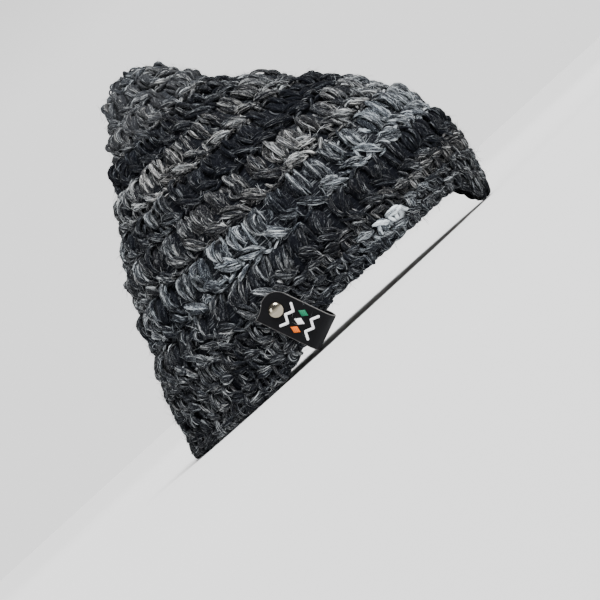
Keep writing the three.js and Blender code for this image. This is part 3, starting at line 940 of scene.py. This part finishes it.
class Finish:
    """A material or a backdrop made of nodes."""

    def __init__(self, owner, shader):
        owner.use_nodes = True
        self.owner = owner
        self.tree = owner.node_tree
        self.shader = next(n for n in self.tree.nodes if n.type == shader)

    def node(self, kind, settings=None, inputs=None, output=0):
        """Adds one node: its settings first, then the values or links of its sockets."""
        node = self.tree.nodes.new(kind)
        for name, value in (settings or {}).items():
            setattr(node, name, value)
        for name, value in (inputs or {}).items():
            self.feed(node.inputs[name], value)
        return Quantity(self, node.outputs[output])

    def feed(self, socket, value):
        if isinstance(value, Quantity):
            self.tree.links.new(value.socket, socket)
        else:
            socket.default_value = value

    def maths(self, operation, first, second, clamp=False):
        settings = {"operation": operation, "use_clamp": clamp}
        return self.node("ShaderNodeMath", settings, {0: first, 1: second})

    def blend(self, share, first, second):
        """A colour between two colours."""
        return self.node("ShaderNodeMix", {"data_type": "RGBA"}, {0: share, 6: first, 7: second}, output=2)

    def between(self, share, pair, strength=1.0):
        """A colour between the two of a pair, both scaled by the strength."""
        first, second = [(*np.multiply(colour, strength), 1) for colour in pair]
        return self.blend(share, first, second)

    def scaled(self, vector, scale):
        return self.node("ShaderNodeVectorMath", {"operation": "MULTIPLY"}, {0: vector, 1: scale})

    def noise(self, vector, scale, detail, roughness):
        inputs = {"Vector": vector, "Scale": scale, "Detail": detail, "Roughness": roughness}
        return self.node("ShaderNodeTexNoise", {}, inputs)

    def streaks(self, fibre, scale):
        """Noise stretched along a strand: its scale is across, across and along, for each millimetre."""
        return self.noise(self.scaled(fibre, scale), 1.0, 1.0, 0.5)

    def hair_lines(self, place, scale):
        """Thin wandering lines: where a cloudy noise crosses its middle value."""
        off = (self.noise(place, scale, 2.0, 0.6) - 0.5) * 60.0
        return (1 - off * off).clipped()

    def attribute(self, name):
        return self.node("ShaderNodeAttribute", {"attribute_name": name}, output=1)

    def part(self, vector, index):
        return self.node("ShaderNodeSeparateXYZ", {}, {0: vector}, output=index)

    def bump(self, height, strength, distance):
        return self.node("ShaderNodeBump", {}, {"Strength": strength, "Distance": distance, "Height": height})

    def surface(self, **sockets):
        """Sets the shader's own sockets; an underscore in a name stands for a space."""
        for name, value in sockets.items():
            self.feed(self.shader.inputs[name.replace("_", " ")], value)
        return self.owner


def new_finish(name):
    return Finish(bpy.data.materials.new(name), "BSDF_PRINCIPLED")


def smooth_share(value, low, high):
    """0 below low, 1 above high, and even between."""
    return ((value - low) * (1 / (high - low))).clipped()


def yarn_finish(name, contrast, haze, whiteness):
    """Heathered yarn: fine streaks along each strand pick light fibres out of black ones.

    The more tone a strand has, the more of the streak noise passes for light fibre, and the greyer the dark
    fibres are. contrast is how sharply light parts from dark, haze the least share of grey in the dark
    fibres, and whiteness scales the light ones."""
    finish = new_finish(name)
    fibre = finish.attribute("fibre")
    yarn = finish.attribute("yarn")
    tone = finish.part(yarn, 0)
    warmth = finish.part(yarn, 1)
    streak = finish.streaks(fibre, (2.7, 2.7, 0.11))
    fine = finish.streaks(fibre, (5.0, 5.0, 0.4))
    clump = finish.streaks(fibre, (0.7, 0.7, 0.12))
    passing = streak + (fine - 0.5) * 0.5 + (clump - 0.5) * 0.7
    palest = smooth_share(tone, 0.85, 1.0)
    threshold = 0.64 - tone * 0.16 - palest * 0.4
    light = ((passing - threshold) * contrast).clipped() ** 1.15
    place = finish.node("ShaderNodeTexCoord", output=3)
    lying_hairs = finish.hair_lines(place, 420.0) + finish.hair_lines(place, 700.0)
    light = (light + lying_hairs * (0.07 + tone * 0.24)).clipped()
    share = warmth * 0.5 + 0.5
    black = finish.between(share, BLACK_FIBRE)
    grey = finish.between(share, GREY_FIBRE)
    dim = finish.between(share, DIM_FIBRE)
    white = finish.between(share, WHITE_FIBRE, whiteness)
    greyness = smooth_share(tone, 0.1, 0.9) ** 2.8
    under = finish.blend((greyness * (1 - haze) + haze).clipped(), black, grey)
    over = finish.blend(smooth_share(tone, 0.05, 0.75), dim, white)
    over = finish.blend(palest, over, PALEST_FIBRE)
    colour = finish.blend(light, under, over)
    bump = finish.bump(passing, 0.7, 0.35 * MM)
    return finish.surface(Base_Color=colour, Roughness=0.82, Normal=bump, Sheen_Weight=0.01,
                          Sheen_Roughness=0.5, Specular_IOR_Level=0.03)


def leather_finish():
    """Black leather: pebbled grain with pores, wear, most at the fold, and paler, rougher cut edges."""
    finish = new_finish("black_leather")
    place = finish.attribute("fibre")
    marks = finish.attribute("yarn")
    edge = finish.part(marks, 0)
    fold = finish.part(marks, 1)
    pebble = finish.node("ShaderNodeTexVoronoi", {"feature": "SMOOTH_F1"}, {"Vector": place, "Scale": 1.6})
    pores = finish.noise(place, 2.6, 3.0, 0.6)
    cloud = finish.noise(place, 0.12, 3.0, 0.55)
    worn = (fold * 0.5 + cloud * 0.35 + pores * 0.2 - 0.2).clipped()
    skin = finish.blend(worn, (0.0022, 0.0023, 0.0028, 1), (0.011, 0.011, 0.013, 1))
    raw = finish.blend(pores, (0.05, 0.05, 0.05, 1), (0.24, 0.236, 0.23, 1))
    colour = finish.blend(edge, skin, raw)
    rough = 0.36 + cloud * 0.22 + edge * 0.35
    height = pebble * 0.6 + pores * 0.5
    return finish.surface(Base_Color=colour, Roughness=rough, Normal=finish.bump(height, 0.35, 0.18 * MM),
                          Specular_IOR_Level=0.07)


def nickel_finish():
    """Polished nickel with smudges and faint hairline wear."""
    finish = new_finish("polished_nickel")
    place = finish.node("ShaderNodeTexCoord", output=3)
    smudge = finish.noise(place, 260.0, 2.0, 0.5)
    hairline = finish.noise(finish.scaled(place, (1, 6, 1)), 900.0, 1.0, 0.5)
    colour = finish.blend(smudge, (0.26, 0.23, 0.175, 1), (0.35, 0.315, 0.25, 1))
    rough = 0.14 + smudge * 0.08 + hairline * 0.05
    return finish.surface(Base_Color=colour, Metallic=1.0, Roughness=rough,
                          Normal=finish.bump(hairline, 0.05, 0.05 * MM))


def thread_finish(name, dark, light):
    """Shiny embroidery thread, with a ridge for each turn across the line, and colour that is darker between
    the ridges as painted shade, mixed with random changes of tone.
    """
    finish = new_finish(name)
    fibre = finish.attribute("fibre")
    wave = finish.node("ShaderNodeTexWave", {"bands_direction": "Z"},
                       {"Vector": fibre, "Scale": 0.3, "Distortion": 0.8, "Detail": 1.0})
    shade = finish.noise(fibre, 1.3, 2.0, 0.5)
    # Painted shade: the colour follows the ridges' height, darker low between the turns.
    colour = finish.blend((wave * 0.55 + shade * 0.45).clipped(), dark, light)
    return finish.surface(Base_Color=colour, Roughness=0.6, Normal=finish.bump(wave, 0.5, 0.15 * MM),
                          Specular_IOR_Level=0.2)


def floor_finish():
    """Matt pale board with the faintest mottling."""
    finish = new_finish("pale_floor")
    place = finish.node("ShaderNodeTexCoord", output=3)
    mottle = finish.noise(place, 3.0, 3.0, 0.5)
    colour = finish.blend(mottle, (0.80, 0.80, 0.80, 1), (0.83, 0.83, 0.83, 1))
    return finish.surface(Base_Color=colour, Roughness=0.85, Specular_IOR_Level=0.2)


def add_object(name, data):
    """A new object of the scene."""
    thing = bpy.data.objects.new(name, data)
    bpy.context.scene.collection.objects.link(thing)
    return thing


def make_piece(name, surface, finish, node, slot):
    """The surface as a mesh object that rides with the hat and stands for a solid."""
    mesh = bpy.data.meshes.new(name)
    corners = np.concatenate([surface.quads.ravel(), surface.triangles.ravel()]).astype(np.int32)
    starts = np.concatenate([
        np.arange(len(surface.quads)) * 4,
        len(surface.quads) * 4 + np.arange(len(surface.triangles)) * 3,
    ]).astype(np.int32)
    mesh.vertices.add(len(surface.points))
    mesh.vertices.foreach_set("co", surface.points.astype(np.float32).ravel())
    mesh.loops.add(len(corners))
    mesh.loops.foreach_set("vertex_index", corners)
    mesh.polygons.add(len(starts))
    mesh.polygons.foreach_set("loop_start", starts)
    mesh.update(calc_edges=True)
    mesh.shade_smooth()
    for key in ("fibre", "yarn"):
        attribute = mesh.attributes.new(key, "FLOAT_VECTOR", "POINT")
        attribute.data.foreach_set("vector", getattr(surface, key).astype(np.float32).ravel())
    mesh.materials.append(finish)
    piece = add_object(name, mesh)
    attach(piece, "root")
    if node:
        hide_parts(node)


def make_walls(finishes):
    """The backing wall of each solid."""
    for name, foot, top, stitches, node in WALLS:
        slot = "band_yarn" if node == "brim_band" else node + "_yarn"
        make_piece(name, wall_surface(foot, top, stitches), finishes[node], node, slot)


def make_rounds(finishes):
    """The bean-stitch rounds, each with its own random draws, and the loose hairs of each solid."""
    fuzz = {"body": [], "crown": [], "tip": []}
    for name, foot, beans, node in ROUNDS:
        rng = np.random.default_rng([SEED, foot])
        groups = [
            upright_strands(rng, name, foot, beans, BEAN),
            closing_strands(rng, name, foot, beans, BEAN_CLOSING),
            foundation_strands(rng, name, foot, beans),
        ]
        stitches, hairs = round_surfaces(rng, groups, threads=1.6, hairs=beans * 22)
        cores = sweep(*bean_cores(rng, name, foot, beans))
        make_piece(name, join([cores, stitches]), finishes[node], node, node + "_yarn")
        fuzz[node] += hairs
    for node, hairs in fuzz.items():
        make_piece(node + "_fuzz", join(hairs), finishes[node], node, node + "_yarn")


def make_band(finish):
    """The single-crochet rounds of the band, the chained edge on the lowest, and their loose hairs."""
    fuzz = []
    for foot in range(BAND_TOP):
        name = f"band_round_{foot + 1}"
        rng = np.random.default_rng([SEED, foot])
        groups = [
            upright_strands(rng, name, foot, BAND_STITCHES, SINGLE),
            closing_strands(rng, name, foot, BAND_STITCHES, SINGLE_TOP),
        ]
        if foot == 0:
            groups.append(edge_strands(rng, name))
        stitches, hairs = round_surfaces(rng, groups, threads=1.5, hairs=900)
        make_piece(name, stitches, finish, "brim_band", "band_yarn")
        fuzz += hairs
    make_piece("band_fuzz", join(fuzz), finish, "brim_band", "band_yarn")


def make_tag():
    """The leather tag, its rivet, whose nickel the hidden shank has too, and the embroidery."""
    make_piece("leather_tag", tag_surface(), leather_finish(), "tag", "leather")
    nickel = nickel_finish()
    make_piece("rivet_dome", rivet_surface(), nickel, "rivet_cap", "nickel")
    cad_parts["rivet_post"].material_slots[0].material = nickel

    threads = {name: thread_finish(name + "_thread", *colours) for name, colours in THREADS.items()}
    lines = [zigzag(along, flip) for along, flip in zip(ZIGZAGS_ALONG, (1, -1))]
    widths = np.full((2, ZIGZAG_STEPS), ZIGZAG_WIDTH * MM)
    zigzags = embroidery_surface(lines, widths, ZIGZAG_HEIGHT * MM)
    make_piece("white_zigzags", zigzags, threads["white"], None, "leather")
    for place, name in zip((-1, 0, 1), ("orange", "white", "green")):
        line, width = diamond(place * DIAMOND_SPACING)
        shape = embroidery_surface([line], [width], DIAMOND_HEIGHT * MM)
        make_piece(name + "_diamond", shape, threads[name], None, "leather")


def make_floor():
    """A wide round floor that isn't part of the hat."""
    bpy.ops.mesh.primitive_circle_add(vertices=96, radius=FLOOR_RADIUS, fill_type="NGON", location=(0, 0, 0))
    floor = bpy.context.object
    floor.name = "floor"
    floor.data.materials.append(floor_finish())


def make_lamp(name, kind, place, strength, settings):
    """A lamp at a place that faces the hat."""
    data = bpy.data.lights.new(name, kind)
    data.energy = strength
    for setting, value in settings.items():
        setattr(data, setting, value)
    back = unit(np.array(place) - LAMPS_AIM)
    side = unit(np.cross((0, 0, 1), back))
    turn = np.stack([side, np.cross(back, side), back], axis=-1)
    add_object(name, data).matrix_world = Matrix.Translation(place) @ Matrix(turn.tolist()).to_4x4()


def make_studio():
    """Pale walls all round under a darker ceiling, a broad key light, and a soft box on either side."""
    world = bpy.data.worlds.new("studio")
    backdrop = Finish(world, "BACKGROUND")
    height = backdrop.part(backdrop.node("ShaderNodeTexCoord"), 2)
    rising = smooth_share(height, *CEILING_RISE)
    backdrop.surface(Color=backdrop.blend(rising, (1, 1, 1, 1), CEILING_COLOUR), Strength=WALL_LIGHT)
    bpy.context.scene.world = world
    for lamp in LAMPS:
        make_lamp(*lamp)


def make_camera():
    """A long lens that looks along +Y, turned about its own line of sight by the tilt."""
    data = bpy.data.cameras.new("camera")
    data.lens = CAMERA_LENS
    data.sensor_width = CAMERA_SENSOR
    camera = add_object("camera", data)
    sine, cosine = np.sin(CAMERA_TILT), np.cos(CAMERA_TILT)
    turn = Matrix(((cosine, sine, 0), (0, 0, -1), (-sine, cosine, 0)))
    camera.matrix_world = Matrix.Translation(CAMERA_PLACE) @ turn.to_4x4()
    bpy.context.scene.camera = camera


make_camera()
make_studio()
make_floor()
yarn = yarn_finish("heathered_yarn", contrast=4.6, haze=0, whiteness=1.05)
tip_yarn = yarn_finish("soft_grey_yarn", contrast=3.9, haze=0.42, whiteness=0.86)
yarns = {"brim_band": yarn, "body": yarn, "crown": yarn, "tip": tip_yarn}
make_walls(yarns)
make_band(yarn)
make_rounds(yarns)
make_tag()
